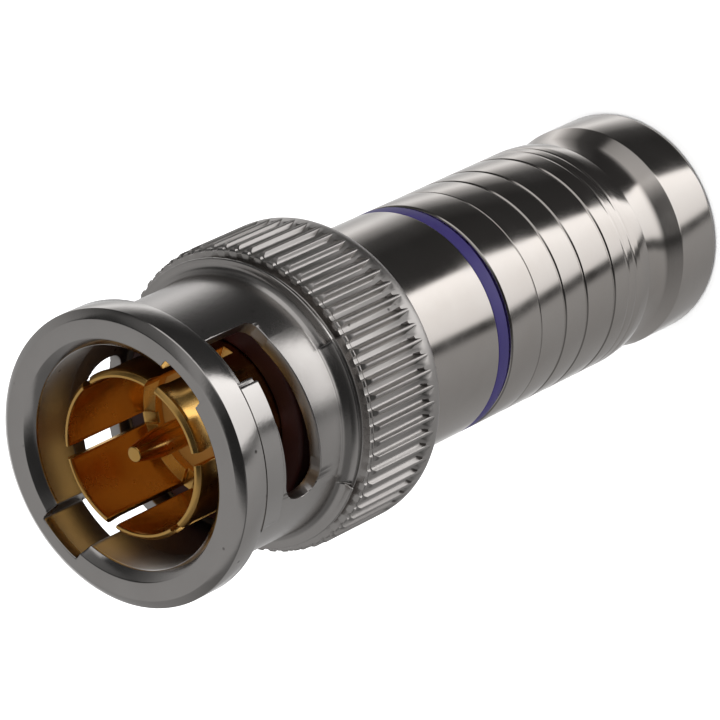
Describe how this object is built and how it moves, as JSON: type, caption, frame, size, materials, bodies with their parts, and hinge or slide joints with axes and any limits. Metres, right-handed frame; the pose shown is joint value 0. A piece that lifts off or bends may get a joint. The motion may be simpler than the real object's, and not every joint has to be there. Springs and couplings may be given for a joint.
{
  "type": "bnc compression connector",
  "caption": "Straight bayonet coaxial plug with a knurled coupling nut, gold contacts and a rear ring that is pressed in to clamp the cable.",
  "frame": {"origin": "middle of the rear face, where the cable enters; the plug stands on its cable end", "axes": "+Z along the axis towards the mating mouth, +X through the middle of a bayonet entry channel"},
  "size_m": [0.0146, 0.0146, 0.038],
  "materials": {
    "nut_nickel": "satin nickel plate on a die-cast nut",
    "body_nickel": "smooth nickel plate on brass",
    "gold": "gold plate on brass",
    "violet_plastic": "matt violet plastic",
    "insulator_plastic": "amber insulating plastic",
    "grip_plastic": "white acetal",
    "seal_rubber": "black rubber",
    "gasket_rubber": "dark red-brown rubber",
    "spring_steel": "plain spring steel"
  },
  "bodies": {
    "shell": {"front_body": "body_nickel", "rear_sleeve": "body_nickel", "colour_band": "violet_plastic", "outer_contact": "gold", "face_gasket": "gasket_rubber", "front_insulator": "insulator_plastic", "rear_insulator": "insulator_plastic", "centre_pin": "gold", "cable_post": "body_nickel", "post_seal": "seal_rubber", "wave_washer": "spring_steel"},
    "washer": {"thrust_washer": "spring_steel"},
    "nut": {"coupling_nut": "nut_nickel"},
    "compression": {"compression_ring": "body_nickel", "sleeve_seal": "seal_rubber", "cable_seal": "seal_rubber", "grip_ring": "grip_plastic"}
  },
  "joints": [
    {"name": "nut_slide", "type": "slide", "parent": "shell", "child": "washer", "axis": [0, 0, 1], "range_m": [0, 0.0006], "stiffness_N_per_m": 3000, "springref_m": -0.0005, "deforming": ["wave_washer"]},
    {"name": "nut_spin", "type": "hinge", "parent": "washer", "child": "nut", "pos_m": [0, 0, 0], "axis": [0, 0, 1], "continuous": true},
    {"name": "compression_slide", "type": "slide", "parent": "shell", "child": "compression", "axis": [0, 0, 1], "range_m": [0, 0.0018]}
  ]
}
